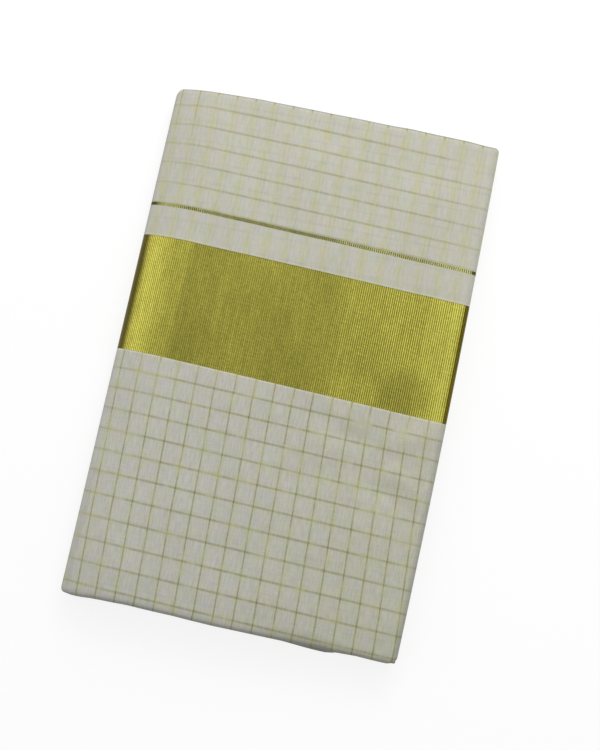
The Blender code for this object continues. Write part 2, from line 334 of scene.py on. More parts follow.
def relief(x, y):
    """Height of the hand-placed unevenness at places on the outer line."""
    height = np.zeros_like(x)
    for fold in FOLDS:
        turn = math.radians(fold["turn"])
        dx, dy = x - fold["x"], y - fold["y"]
        along = dx * math.cos(turn) + dy * math.sin(turn)
        aside = -dx * math.sin(turn) + dy * math.cos(turn)
        height = height + fold["height"] * np.exp(-(along / fold["long"]) ** 2 - (aside / fold["wide"]) ** 2)
    for wave in WAVES:
        turns = x / wave["across"] + y / wave["along"]
        height = height + wave["height"] * np.sin(2 * math.pi * turns + wave["phase"])
    height = height - SHOULDER_DROP * smooth((x - (WIDTH / 2 - SHOULDER_DROP_RUN)) / SHOULDER_DROP_RUN)
    return height - NEAR_DROP * smooth((-y - (LENGTH / 2 - NEAR_DROP_RUN)) / NEAR_DROP_RUN)


def upper_share():
    """1 on the front and over the folds, fading to 0 at the tuck and under the nose."""
    over_fold = smooth((np.arange(COUNT) - TUCK_STEPS) / FOLD_STEPS)
    return over_fold * smooth((ACROSS - NOSE_AT) / UNDER_FADE)


UPPER = upper_share()


def depth_of_wall():
    """Thickness of the sheet at each station: it grows to a bundle of plies at the two free edges."""
    run = ACROSS[0] - ACROSS
    near_tuck = 1 - smooth(run / EDGE_RUN)
    near_under = 1 - smooth((run[-1] - run) / EDGE_RUN)
    return CLOTH + (EDGE_BUNDLE - CLOTH) * np.maximum(near_tuck, near_under)


DEPTH = depth_of_wall()


def surface(ys, depth, shift):
    """Points of the sheet: ys for each station, depth below the outer surface, and a shift along y."""
    place = ys + shift
    x, z, nx, nz = section(place)
    lift = relief(x, place) * UPPER
    return np.stack([x - nx * depth, place, z - nz * depth + lift], 1)


def plied_lip(first, last, inside):
    """Rounded free edge of several plies, from the sheet's first face to its last."""
    points = []
    onward = (first + last) / 2 - inside
    onward = onward / np.linalg.norm(onward)
    per_ply = 4
    across = last - first
    radius = np.linalg.norm(across) / EDGE_PLIES / 2
    for ply in range(EDGE_PLIES):
        for step in range(per_ply):
            turn = math.pi * (step + 0.5) / per_ply
            share = (ply + 0.5 - 0.5 * math.cos(turn)) / EDGE_PLIES
            points.append(first + across * share + onward * radius * math.sin(turn))
    return points


def sheet_ring(ys, outer_shift, outer_depth, inner_shift, inner_depth):
    """Closed ring round the sheet's section at one station along it."""
    front = surface(ys, outer_depth, outer_shift)
    back = surface(ys, inner_depth, inner_shift)
    under = plied_lip(front[-1], back[-1], (front[-2] + back[-2]) / 2)
    tuck = plied_lip(back[0], front[0], (front[1] + back[1]) / 2)
    return np.concatenate([front, under, back[::-1], tuck])


def rim_rows(side):
    """Shifts and depths of a turned-in end's two faces, from past the flat sheet to the tip."""
    rings = []
    lip_depth = np.minimum(DEPTH, RIM_RADIUS - RIM_LEAST)
    inner_radius = RIM_RADIUS - lip_depth
    for step in range(1, RIM_STEPS + 1):
        across, down = math.sin(RIM_TURN * step / RIM_STEPS), math.cos(RIM_TURN * step / RIM_STEPS)
        out_away, out_depth = RIM_RADIUS * (1 - across), RIM_RADIUS * (1 - down)
        in_away, in_depth = RIM_RADIUS - inner_radius * across, RIM_RADIUS - inner_radius * down
        rings.append((-side * out_away, out_depth, -side * in_away, in_depth))
    half = lip_depth / 2
    across, down = math.sin(RIM_TURN), math.cos(RIM_TURN)
    for step in range(1, TIP_STEPS + 1):
        angle = TIP_TURN * step / TIP_STEPS
        onward, spread = half * math.sin(angle), half * math.cos(angle)
        away = RIM_RADIUS - (RIM_RADIUS - half) * across - down * onward
        depth = RIM_RADIUS - (RIM_RADIUS - half) * down + across * onward
        rings.append((
            -side * (away - spread * across), depth - spread * down,
            -side * (away + spread * across), depth + spread * down,
        ))
    return rings


def rim_rings(line, side):
    """Rings of a turned-in end past the flat sheet, and each ring's y on the flat cloth."""
    rows = rim_rows(side)
    ys = [line - side * (RIM_RADIUS - np.maximum(0, RIM_RADIUS + side * row[0]) - row[1]) for row in rows]
    return [sheet_ring(line, *row) for row in rows], ys


def zone_rings(far_line, near_line, far_rim, near_rim, steps):
    """All rings of a zone from its far line to its near line, and each ring's y on the flat cloth."""
    far_in = RIM_RADIUS if far_rim else BORDER_GAP / 2
    near_in = RIM_RADIUS if near_rim else BORDER_GAP / 2
    rings, cloth_ys = [rows[::-1] for rows in rim_rings(far_line, 1)] if far_rim else ([], [])
    for step in range(steps + 1):
        share = step / steps
        ys = (1 - share) * (far_line - far_in) + share * (near_line + near_in)
        rings.append(sheet_ring(ys, 0, 0, 0, DEPTH))
        cloth_ys.append(ys)
    if near_rim:
        rim, rim_ys = rim_rings(near_line, -1)
        rings += rim
        cloth_ys += rim_ys
    return rings, cloth_ys


def index_of(places, value):
    """Place of a value in a rising list, as a number that is whole at each entry."""
    return np.interp(value, places, np.arange(len(places)))


def woven_maps(across, ys, far_line, near_line):
    """Woven coordinates: Cloth in metres, Check and Ghost whole at threads, Edge the way to the borders."""
    left_share = np.clip((DROOP_FROM - across) / DROOP_RUN, 0, 1)
    far_share = np.clip((ys - DROOP_LOW) / DROOP_RISE, 0, 1)
    level = ys + table(WEFT_FALL, ys) * (across - WEFT_AT) + DROOP * left_share ** 2 * far_share ** 2
    ghost_level = ys - GHOST_RISE * (across - WEFT_AT)
    out = WARP_OUT * smooth((WARP_OUT_FROM - across) / WARP_OUT_RUN)
    aside = across + out - table(WARPS, ys, "y", "middle")
    warp = aside / np.where(aside < 0, table(WARPS, ys, "y", "left"), table(WARPS, ys, "y", "right"))
    return {
        "Cloth": np.stack([across, level], -1),
        "Check": np.stack([warp, index_of(WEFTS, level)], -1) + THREAD_SHIFT,
        "Ghost": np.stack([warp, index_of(GHOST_WEFTS, ghost_level)], -1) + THREAD_SHIFT,
        "Edge": np.stack([far_line - ys, ys - near_line], -1),
    }


def add_uv(mesh, name, values):
    layer = mesh.uv_layers.new(name=name)
    loops = np.zeros(len(mesh.loops), np.int32)
    mesh.loops.foreach_get("vertex_index", loops)
    layer.data.foreach_set("uv", values[loops].astype(np.float32).ravel())


def quads_between(first, rings, around):
    """Faces between closed rings of as many points each, from the point numbered first."""
    faces = []
    for low in range(first, first + (rings - 1) * around, around):
        for i in range(around):
            j = (i + 1) % around
            faces.append((low + i, low + j, low + around + j, low + around + i))
    return faces


def finish_mesh(name, points, faces, material, maps):
    mesh = bpy.data.meshes.new(name)
    mesh.from_pydata([tuple(p) for p in points], [], faces)
    mesh.update()
    for uv_name, values in maps.items():
        add_uv(mesh, uv_name, values)
    bm = bmesh.new()
    bm.from_mesh(mesh)
    bmesh.ops.recalc_face_normals(bm, faces=bm.faces)
    bm.to_mesh(mesh)
    bm.free()
    mesh.shade_smooth()
    mesh.set_sharp_from_angle(angle=SHARP_ANGLE)
    mesh.materials.append(material)
    obj = bpy.data.objects.new(name, mesh)
    bpy.context.scene.collection.objects.link(obj)
    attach(obj, "root")
    return obj


def round_ring(values, lips):
    """A value of each station, carried round a sheet's closed ring and its two lips."""
    return np.concatenate([values, np.full(lips, values[-1]), values[::-1], np.full(lips, values[0])])


def zone_sheet(name, far_line, near_line, material, far_rim=False, near_rim=False):
    """One woven zone as a closed thin sheet with its woven coordinates."""
    rings, cloth_ys = zone_rings(far_line, near_line, far_rim, near_rim, ZONE_STEPS[name])
    around = len(rings[0])
    lips = around // 2 - COUNT
    faces = quads_between(0, len(rings), around)
    inner = 2 * COUNT + lips - 1
    for base in (0, (len(rings) - 1) * around):
        for i in range(COUNT - 1):
            faces.append((base + i, base + i + 1, base + inner - i - 1, base + inner - i))
        faces.append(tuple(base + i for i in range(COUNT - 1, COUNT + lips + 1)))
        faces.append(tuple(base + i for i in [*range(inner, around), 0]))
    lines = (ACROSS, far_line, near_line)
    across, far, near = (np.tile(round_ring(line, lips), len(rings)) for line in lines)
    maps = woven_maps(across, np.concatenate([round_ring(ys, lips) for ys in cloth_ys]), far, near)
    obj = finish_mesh("cloth_" + name, np.concatenate(rings), faces, material, maps)
    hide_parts(name)
    return obj


# Hidden leaves, close to those in the part's source, and how many nested ribbons each is made of
LEAVES = rows_of(
    "low high side_in far_in near_in nested",
    (0.0, 0.1, 0.0016, 0.0042, 0.006, 1),
    (0.12, 0.35, 0.001, 0.001, 0.0006, 3),
    (0.37, 0.6, 0.0005, 0.0004, 0.0004, 3),
    (0.62, 0.78, 0.015, 0.0014, 0.0034, 2),
    (0.81, 1.0, 0.0026, 0.0042, 0.006, 2),
)
LEFT_LEG_IN = 0.0040
# How much further in the left legs of the outermost leaves and of each nested ribbon begin
LEG_FAN = 0.0040
LEG_NEST = 0.0009
LEG_STEPS = 46
TURN_STEPS = 10
PLY_SHARE = 0.93
LEAF_STATIONS = 12
RIBBON_NOSE = [math.radians(a) for a in (9, 30, 55, 90)]
# How far the ribbons' ends draw back, and how uneven they are along each end and from one to the next
END_INSET = 0.0003
END_NEST = 0.0005
END_SPREAD = {"height": 0.0003, "step": 3.1}
END_WAVES = [{"height": 0.00035, "run": 0.021, "step": 1.0}, {"height": 0.0002, "run": 0.0083, "step": 2.3}]
# Place across where a ribbon has the right side's whole bow
BOW_RUN = 0.06


def room_inside(x, y):
    """Lowest and highest z of the room inside the visible sheet at a place across."""
    clear = WALL + GAP
    sx, sz, nx, nz = section(np.full(COUNT, y))
    keep = slice(TUCK_STEPS + FOLD_STEPS, COUNT)
    px, pz = (sx - nx * clear)[keep], (sz - nz * clear)[keep]
    nose = int(np.argmin(px))
    return np.interp(x, px[nose:], pz[nose:]), np.interp(x, px[nose::-1], pz[nose::-1])


def ribbon_path(leaf, nested, y):
    """A nested ribbon's middle line, its upper leg, right turn and lower leg, and its thickness."""
    block = FOLD_HEIGHT - 2 * (WALL + GAP)
    thick = (leaf["high"] - leaf["low"]) / (2 * leaf["nested"])
    top, bottom = leaf["high"] - (nested + 0.5) * thick, leaf["low"] + (nested + 0.5) * thick
    right = right_edge(y) - leaf["side_in"] - (leaf["high"] - leaf["low"]) * block / 2
    left = LEFT_EDGE + LEFT_LEG_IN + LEG_FAN * abs(leaf["low"] + leaf["high"] - 1) + LEG_NEST * nested
    xs = np.linspace(left, right, LEG_STEPS)
    low, high = room_inside(xs, y)
    upper = np.stack([xs, low + top * (high - low)], 1)
    lower = np.stack([xs, low + bottom * (high - low)], 1)
    radius = (upper[-1, 1] - lower[-1, 1]) / 2
    middle = (upper[-1, 1] + lower[-1, 1]) / 2
    angles = np.linspace(math.pi / 2, -math.pi / 2, TURN_STEPS + 2)[1:-1]
    turn = np.stack([right + radius * np.cos(angles), middle + radius * np.sin(angles)], 1)
    path = np.concatenate([upper, turn, lower[::-1]])
    return path, thick * block * PLY_SHARE


def leaf_end(leaf, x, side, nested, number):
    """Y of a ribbon's end at places across."""
    hidden = np.maximum(1 - smooth((x - PEEP_FROM) / PEEP_RUN), smooth((x - STEP_BACK_AT) / STEP_BACK_RUN))
    back = leaf["far_in"] if side > 0 else leaf["near_in"] + STEP_BACK * hidden
    uneven = sum(wave["height"] * np.sin(x / wave["run"] + wave["step"] * number) for wave in END_WAVES)
    inset = END_INSET + END_NEST * nested + END_SPREAD["height"] * math.sin(END_SPREAD["step"] * number)
    return side * (LENGTH / 2 - back - corner_back(x, side) - inset + uneven)


def ribbon(leaf, nested, number):
    """Rings of one nested ribbon, a closed thin strip with rounded ends, from near to far."""
    path, thick = ribbon_path(leaf, nested, 0.0)
    step = np.gradient(path, axis=0)
    out = np.stack([-step[:, 1], step[:, 0]], 1)
    out /= np.linalg.norm(out, axis=1)[:, None]
    half = thick / 2
    near, far = (leaf_end(leaf, path[:, 0], side, nested, number) for side in (-1, 1))
    rows = [(near + half * (1 - math.cos(turn)), math.sin(turn)) for turn in RIBBON_NOSE]
    for share in np.linspace(0, 1, LEAF_STATIONS + 1)[1:-1]:
        rows.append(((near + half) * (1 - share) + (far - half) * share, 1.0))
    rows += [(far - half * (1 - math.cos(turn)), math.sin(turn)) for turn in RIBBON_NOSE[::-1]]
    rings = []
    for ys, fullness in rows:
        moved = path.copy()
        moved[:, 0] += (right_edge(ys) - WIDTH / 2) * smooth(path[:, 0] / BOW_RUN)
        front, back = moved + out * half * fullness, moved - out * half * fullness
        rings.append(np.concatenate([
            np.stack([front[:, 0], ys, front[:, 1]], 1),
            np.stack([back[::-1, 0], ys[::-1], back[::-1, 1]], 1),
        ]))
    return rings


def inner_leaves(material):
    """All hidden leaves as one piece of nested, folded ribbons."""
    all_rings, faces = [], []
    ribbons = [(leaf, nested) for leaf in LEAVES for nested in range(leaf["nested"])]
    for number, (leaf, nested) in enumerate(ribbons, 1):
        rings = ribbon(leaf, nested, number)
        around = len(rings[0])
        first = len(all_rings) * around
        all_rings += rings
        faces += quads_between(first, len(rings), around)
        for base in (first, first + (len(rings) - 1) * around):
            for i in range(around // 2 - 1):
                faces.append((base + i, base + i + 1, base + around - 2 - i, base + around - 1 - i))
    points = np.concatenate(all_rings)
    ends = np.full(len(points), LENGTH / 2)
    maps = woven_maps(points[:, 0], points[:, 1], ends, -ends)
    obj = finish_mesh("inner_leaves", points, faces, material, maps)
    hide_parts("folded_layers")
    return obj


class Graph:
    """Short way to write the nodes of a material or a world."""

    def __init__(self, owner):
        owner.use_nodes = True
        self.owner = owner
        self.nodes = owner.node_tree.nodes
        self.shader = self.nodes.get("Principled BSDF")

    def link(self, source, target):
        if isinstance(source, (int, float)):
            target.default_value = source
        elif isinstance(source, tuple):
            target.default_value = (*source, 1.0) if len(source) == 3 and target.type == "RGBA" else source
        else:
            self.owner.node_tree.links.new(source, target)

    def gloss(self, values, roughness=None):
        """Constants on the shader's own sockets, and a roughness that changes over the cloth."""
        for key, value in values.items():
            self.shader.inputs[key].default_value = value
        if roughness is not None:
            self.link(roughness, self.shader.inputs["Roughness"])

    def uv(self, name):
        node = self.nodes.new("ShaderNodeUVMap")
        node.uv_map = name
        split = self.nodes.new("ShaderNodeSeparateXYZ")
        self.link(node.outputs[0], split.inputs[0])
        return split.outputs[0], split.outputs[1]

    def math(self, operation, a, b=None, c=None):
        node = self.nodes.new("ShaderNodeMath")
        node.operation = operation
        for value, socket in zip((a, b, c), node.inputs):
            if value is not None:
                self.link(value, socket)
        return node.outputs[0]

    def chain(self, operation, first, *others):
        for other in others:
            first = self.math(operation, first, other)
        return first

    def times(self, *values):
        return self.chain("MULTIPLY", *values)

    def plus(self, *values):
        return self.chain("ADD", *values)

    def most(self, *values):
        return self.chain("MAXIMUM", *values)

    def wave(self, place, pitch, operation="SINE"):
        return self.math(operation, self.times(place, 2 * math.pi / pitch))

    def ramp(self, value, low, high, out_low=0.0, out_high=1.0, soft=True):
        node = self.nodes.new("ShaderNodeMapRange")
        node.interpolation_type = "SMOOTHSTEP" if soft else "LINEAR"
        node.clamp = True
        keys = ("Value", "From Min", "From Max", "To Min", "To Max")
        for key, number in zip(keys, (value, low, high, out_low, out_high)):
            self.link(number, node.inputs[key])
        return node.outputs[0]

    def curve(self, value, rows):
        """Smooth reading of (place, value) rows, level beyond both ends."""
        low, high = rows[0][0], rows[-1][0]
        least, most = min(r[1] for r in rows), max(r[1] for r in rows)
        if least == most:
            return least
        node = self.nodes.new("ShaderNodeFloatCurve")
        node.inputs["Factor"].default_value = 1.0
        self.link(self.ramp(value, low, high, soft=False), node.inputs["Value"])
        points = node.mapping.curves[0].points
        while len(points) < len(rows):
            points.new(0.5, 0.5)
        for point, (place, height) in zip(points, rows):
            point.location = ((place - low) / (high - low), (height - least) / (most - least))
            point.handle_type = "AUTO"
        node.mapping.update()
        return self.math("MULTIPLY_ADD", node.outputs[0], most - least, least)

    def noise(self, x, y, scales, detail=2.0, z=0.0):
        """Noise over two values, each times its scale; z picks a slice of its own."""
        place = self.nodes.new("ShaderNodeCombineXYZ")
        for value, socket in zip((self.times(x, scales[0]), self.times(y, scales[1]), z), place.inputs):
            self.link(value, socket)
        node = self.nodes.new("ShaderNodeTexNoise")
        node.inputs["Scale"].default_value = 1.0
        node.inputs["Detail"].default_value = detail
        self.link(place.outputs[0], node.inputs["Vector"])
        return node.outputs[0]

    def varied(self, value, noise, by):
        """A value times a factor that a noise moves from 1 - by to 1 + by."""
        return self.times(value, self.ramp(noise, *NOISE_RANGE, 1.0 - by, 1.0 + by))

    def mix(self, share, a, b, blend="MIX"):
        node = self.nodes.new("ShaderNodeMix")
        node.data_type = "RGBA"
        node.blend_type = blend
        node.clamp_factor = True
        for value, place in ((share, 0), (a, 6), (b, 7)):
            self.link(value, node.inputs[place])
        return node.outputs[2]

    def tinted(self, color, tint, share=1.0):
        return self.mix(share, color, tint, "MULTIPLY")

    def scaled(self, color, factor):
        grey = self.nodes.new("ShaderNodeCombineColor")
        for socket in grey.inputs:
            self.link(factor, socket)
        return self.tinted(color, grey.outputs[0])

    def bump(self, height, strength):
        node = self.nodes.new("ShaderNodeBump")
        node.inputs["Strength"].default_value = strength
        node.inputs["Distance"].default_value = BUMP_DEPTH
        self.link(height, node.inputs["Height"])
        self.link(node.outputs[0], self.shader.inputs["Normal"])

    def thread(self, place, core, soft, centre=0.0):
        """1 on lines where place - centre is whole; core and soft are shares of the pitch."""
        away = self.math("PINGPONG", self.plus(place, -centre), 0.5)
        return self.ramp(away, core + soft, core - soft)

    def spotted(self, value, across, level, light_and_shade_spots):
        """A value raised or lowered by its gain at the middle of each soft oval place on the cloth."""
        for spot in light_and_shade_spots:
            aside = self.math("DIVIDE", self.plus(across, -spot["across"]), spot["wide"])
            along = self.math("DIVIDE", self.plus(level, -spot["level"]), spot["long"])
            share = self.ramp(self.plus(self.times(aside, aside), self.times(along, along)), 1.0, 0.0)
            value = self.times(value, self.plus(1.0, self.times(share, spot["gain"])))
        return value


def painted_fold_shade(g, across, level, from_far, from_near, ends):
    """Share of painted shade: 1 where the cloth turns over an end or a side, 0 on the flat."""
    right = g.times(g.ramp(across, *RIGHT_SHADE), g.ramp(level, *RIGHT_SHADE_ALONG))
    spine = g.times(g.ramp(across, *SPINE_SHADE), g.ramp(level, *SPINE_SHADE_ALONG))
    shade = g.most(right, spine, g.ramp(across, *LEFT_SHADE))
    if "far" in ends:
        shade = g.most(shade, g.ramp(from_far, *FAR_SHADE))
    if "near" in ends:
        shade = g.most(shade, g.curve(from_near, NEAR_SHADE))
    return shade


def cotton_base(g, across, level, slubs, shade, values):
    """Unbleached cotton's colour, clouds, slubs and tints; painted light across it, painted shade at folds.
    """
    # Painted light across the cloth, and painted light and shade in soft oval places
    tone = g.spotted(g.curve(across, values["painted_light_across"]), across, level, values["light_and_shade_spots"])
    tone = g.varied(tone, g.noise(across, level, CLOUDS, 3.0), CLOUD_SHARE)
    tone = g.times(tone, g.ramp(slubs, *SLUB_RANGE, 1.0 - values["slubs"], 1.0 + values["slubs"]))
    color = values["color"]
    for row in TINTS:
        noise = g.noise(across, level, row["scales"], row["detail"], row["slice"])
        color = g.tinted(color, g.mix(g.ramp(noise, *PATCH_RANGE), row["low"], row["high"]))
    color = g.tinted(color, NO_BLUE, g.ramp(across, *YELLOWER_ACROSS, 0.0, values["yellower"]))
    # Painted shade where the cloth turns over its folds
    return g.tinted(g.scaled(color, tone), FOLD_PAINTED_SHADE, shade)


def threads_beneath(g, color, across, level, values):
    warp, weft = g.uv("Ghost")
    weak = g.ramp(g.noise(across, level, GHOST_PATCHES, 1.0, 3.0), *PATCH_RANGE, GHOST_LEAST, 1.0)
    for place, centre in ((warp, values["ghost_at"]), (weft, 0.0)):
        ghost = g.times(g.thread(place, GHOST_HALF, GHOST_SOFT, centre), weak, values["ghost"])
        color = g.scaled(color, g.math("SUBTRACT", 1.0, ghost))
    return color


def painted_tick_shade(g, across, level, from_far, fine):
    """Share of painted shade on the warp threads: round the far fold, and in patches by the spine."""
    by_spine = g.times(
        g.ramp(across, *TICKS_BY_SPINE), g.ramp(level, *TICKS_BY_SPINE_ALONG), g.ramp(fine, *TICK_PATCHES)
    )
    return g.most(g.ramp(from_far, *TICKS_AT_FOLD), by_spine)


def zari_threads(g, color, across, level, from_far, values):
    """The zari check: each thread has a wide yellow cast, and a core painted glinting here and shaded there.
    """
    warp, weft = g.uv("Check")
    height = 0.0
    for place, along, thread in ((warp, level, values["warp"]), (weft, across, values["weft"])):
        if thread is None:
            continue
        index = g.math("ROUND", place)
        glint = g.noise(along, index, (GLINTS, thread["step"]))
        fine = g.noise(along, index, (FINE_GLINTS, thread["step"]), 1.0, 4.0)
        cast = g.ramp(g.math("PINGPONG", place, 0.5), 0.0, thread["cast_wide"], thread["cast"], 0.0)
        color = g.tinted(color, CAST, g.times(cast, g.ramp(glint, *GLINT_CAST)))
        share = g.times(
            g.ramp(glint, *GLINT_CORE, thread["least"], 1.0),
            g.ramp(fine, *FINE_CORE),
            g.curve(across, thread["across"]),
        )
        share = g.spotted(share, across, level, thread["fades"])
        line = g.thread(place, thread["half"], thread["soft"])
        color = g.tinted(color, thread["core"], g.times(line, share))
        # Painted shade: dark ticks on the warp threads at the far fold and by the spine
        if "ticks" in thread:
            color = g.tinted(color, PAINTED_SHADE_TICK, g.times(line, painted_tick_shade(g, across, level, from_far, fine)))
        height = g.plus(height, g.times(line, THREAD_RAISED))
    return color, height


def edge_line(g, color, across, away, edge):
    """A paler line of thick weft beside a border, ticked in the rhythm of the gold weave's ribs."""
    line = g.times(
        g.ramp(away, edge["from"], edge["from"] + LINE_SOFT),
        g.ramp(away, edge["to"], edge["to"] - LINE_SOFT),
    )
    tick = g.math("PINGPONG", g.times(across, 1 / RIB_PITCH), 0.5)
    return g.tinted(color, edge["tint"], g.times(line, g.ramp(tick, *TICK_RISE, edge["ticks"], 1.0)))


def cotton(name, values):
    """Plain cotton weave with its zari check, the ply beneath faintly showing, and a line by a border."""
    g = Graph(bpy.data.materials.new(name))
    across, level = g.uv("Cloth")
    from_far, from_near = g.uv("Edge")
    # Slubs: a few thicker threads each way
    slubs = g.plus(
        g.times(g.noise(across, level, WEFT_SLUBS), WEFT_SLUB_SHARE),
        g.times(g.noise(across, level, WARP_SLUBS, z=7.0), WARP_SLUB_SHARE),
    )
    shade = painted_fold_shade(g, across, level, from_far, from_near, values["ends"])
    color = cotton_base(g, across, level, slubs, shade, values)
    color = threads_beneath(g, color, across, level, values)
    color, height = zari_threads(g, color, across, level, from_far, values)
    for edge in values["edge_lines"]:
        color = edge_line(g, color, across, from_far if edge["border"] == "far" else from_near, edge)
    weave = g.times(g.wave(across, WARP_PITCH), g.wave(level, WEFT_PITCH))
    color = g.scaled(color, g.ramp(weave, -1.0, 1.0, *WEAVE_TONE, soft=False))
    g.link(color, g.shader.inputs["Base Color"])
    g.bump(g.plus(height, g.times(weave, WEAVE_RAISED), g.times(slubs, SLUBS_RAISED)), COTTON_BUMP)
    g.gloss(COTTON_SHEEN, g.ramp(slubs, *SLUB_RANGE, *COTTON_ROUGH))
    return g.owner


def zari(name, values):
    """Zari weave: close metal-wrapped threads on upright ribs, painted glints on their crests, shade between.
    """
    g = Graph(bpy.data.materials.new(name))
    across, level = g.uv("Cloth")
    from_far = g.uv("Edge")[0]
    rib = g.math("ROUND", g.times(across, 1 / RIB_PITCH))
    crest = g.wave(across, RIB_PITCH, "COSINE")
    row_line = g.math("MULTIPLY_ADD", across, ROW_SLANT, level)
    places = {"cloth": (across, level), "rib": (rib, level), "row": (across, row_line)}
    # Painted light and shade across the gold weave, where its slopes face the light or not
    tone = g.curve(across, values["painted_light_across"])
    for row in ZARI_UNEVEN:
        noise = g.noise(*places[row["over"]], row["scales"], row["detail"], row["slice"])
        tone = g.varied(tone, noise, row["by"])
    tone = g.times(tone, g.ramp(from_far, *FIRST_THREAD, 1.0, values["first_thread"]))
    # Painted shade and highlights in soft oval places
    tone = g.spotted(tone, across, level, values["light_and_shade_spots"])
    # Painted shade: the threads are darkened where the cloth turns over a fold
    dark = g.most(*(g.times(g.ramp(across, *start), g.ramp(across, *end)) for start, end in PAINTED_SHADE_ACROSS))
    # Painted glints on the ribs' crests and painted shade between them; small knots along each rib weaken or
    # sharpen them
    painted_glint = g.times(g.curve(across, values["rib_painted_glint"]), RIB_PAINTED_GLINT)
    painted_glint = g.varied(painted_glint, g.noise(rib, level, KNOTS, 1.0, 2.0), KNOT_SHARE)
    tone = g.times(tone, g.math("MULTIPLY_ADD", crest, painted_glint, 1.0))
    color = g.tinted(g.scaled(values["color"], tone), FOLD_PAINTED_SHADE_GOLD, dark)
    g.link(color, g.shader.inputs["Base Color"])
    g.bump(g.plus(g.times(crest, CREST_RAISED), g.times(g.wave(level, ZARI_PITCH), ZARI_RAISED)), ZARI_BUMP)
    g.gloss(ZARI_METAL, g.ramp(crest, -1.0, 1.0, *ZARI_ROUGH, soft=False))
    tangent = g.nodes.new("ShaderNodeTangent")
    tangent.direction_type = "UV_MAP"
    tangent.uv_map = "Cloth"
    g.link(tangent.outputs[0], g.shader.inputs["Tangent"])
    return g.owner


ACROSS_LOW, ACROSS_HIGH = -0.150, 0.135
# Pitches of the threads and heights of the weave's relief, as shares of the bump's depth
BUMP_DEPTH = 0.00012
COTTON_BUMP, ZARI_BUMP = 0.35, 0.5
WARP_PITCH, WEFT_PITCH, ZARI_PITCH = 0.00062, 0.00066, 0.00045
THREAD_RAISED, WEAVE_RAISED, SLUBS_RAISED = 0.4, 0.25, 0.5
CREST_RAISED, ZARI_RAISED = 0.4, 0.12
WEAVE_TONE = (0.985, 1.012)
# Scales of the cotton's noises across and along, per metre
CLOUDS = (28.0, 28.0)
CLOUD_SHARE = 0.015
WEFT_SLUBS, WARP_SLUBS = (110.0, 1000.0), (1000.0, 110.0)
WEFT_SLUB_SHARE, WARP_SLUB_SHARE = 0.65, 1.35
SLUB_RANGE, NOISE_RANGE = (0.7, 1.3), (0.3, 0.7)
PATCH_RANGE = (0.35, 0.65)
GHOST_PATCHES = (40.0, 40.0)
GHOST_HALF, GHOST_SOFT, GHOST_LEAST = 0.050, 0.045, 0.35
# Cool and warm, rosy and greenish places of the unbleached yarn
TINTS = rows_of(
    "scales detail slice low high",
    ((150.0, 110.0), 2.0, 9.0, (0.998, 0.995, 1.035), (1.002, 1.002, 0.95)),
    ((75.0, 75.0), 1.0, 15.0, (1.014, 0.996, 1.006), (0.986, 1.004, 0.994)),
)
# The cloth is a little yellower towards the right: a share of its blue goes
NO_BLUE = (1.0, 1.0, 0.0)
YELLOWER_ACROSS = (-0.060, 0.110)
# Painted fold shade: where it begins and where it is full, by distance from the ends, and place across and
# along
FAR_SHADE = (0.0030, -0.0003)
NEAR_SHADE = [
    (-0.003, 1.0), (-0.0003, 0.85), (0.001, 0.66), (0.002, 0.5), (0.003, 0.36), (0.0044, 0.2),
    (0.006, 0.09), (0.009, 0.0),
]
LEFT_SHADE = (-0.1225, -0.1350)
SPINE_SHADE = (-0.1185, -0.1220)
SPINE_SHADE_ALONG = (-0.05, -0.16, 0.0, 0.24)
RIGHT_SHADE = (ROLL_AT - 0.0020, ROLL_AT + 0.0052)
RIGHT_SHADE_ALONG = (0.10, -0.19, 0.40, 0.92)
FOLD_PAINTED_SHADE = (0.50, 0.51, 0.54)
# Painted glints of the check's threads, per metre, and what they do to the cast and the core
GLINTS, FINE_GLINTS = 75.0, 620.0
GLINT_CAST = (0.36, 0.54, 1.45, 0.80)
GLINT_CORE = (0.34, 0.56)
FINE_CORE = (0.25, 0.75, 0.70, 1.0)
CAST = (0.980, 0.985, 0.80)
SPOT = "across level wide long gain"
# Half width and softness are shares of the pitch; step keeps the glints of two threads apart
WARP_THREAD = {
    "step": 5.17,
    "cast": 0.85,
    "cast_wide": 0.36,
    "core": (0.565, 0.565, 0.485),
    "least": 0.42,
    "half": 0.035,
    "soft": 0.026,
    "across": [(ACROSS_LOW, 1.0), (ACROSS_HIGH, 1.0)],
    # Places where painted glints make the core fade
    "fades": rows_of(
        SPOT,
        (0.072, -0.082, 0.03, 0.012, -0.75),
        (0.0, -0.066, 0.06, 0.012, -0.45),
        (0.072, -0.03, 0.008, 0.014, -0.8),
        (0.101, -0.03, 0.008, 0.014, -0.9),
        (-0.08, -0.03, 0.05, 0.022, -0.5),
    ),
}
WEFT_THREAD = {
    "step": 3.71,
    "cast": 0.35,
    "cast_wide": 0.22,
    "core": (0.645, 0.645, 0.565),
    "least": 0.42,
    "half": 0.048,
    "soft": 0.032,
    "across": [
        (ACROSS_LOW, 0.45), (-0.1, 0.65), (-0.075, 0.95), (0.0, 1.0), (0.08, 0.9), (ACROSS_HIGH, 0.6),
    ],
    # Places where painted glints make the core fade
    "fades": rows_of(
        SPOT,
        (0.065, -0.0273, 0.01, 0.006, -0.9),
        (0.094, -0.0273, 0.008, 0.006, -0.8),
        (0.096, -0.0887, 0.012, 0.006, -0.7),
        (0.11, -0.1044, 0.014, 0.006, -0.7),
    ),
}
# Painted glint pales the far warps' core; painted shade ticks it at the far fold and, across and along, by
# the spine
PAINTED_GLINT_CORE = (0.96, 0.96, 0.93)
PAINTED_SHADE_TICK = (0.68, 0.68, 0.64)
TICKS_AT_FOLD = (0.0042, 0.0022)
TICKS_BY_SPINE = (-0.094, -0.100)
TICKS_BY_SPINE_ALONG = (0.148, 0.182)
TICK_PATCHES = (0.30, 0.65, 0.25, 0.80)
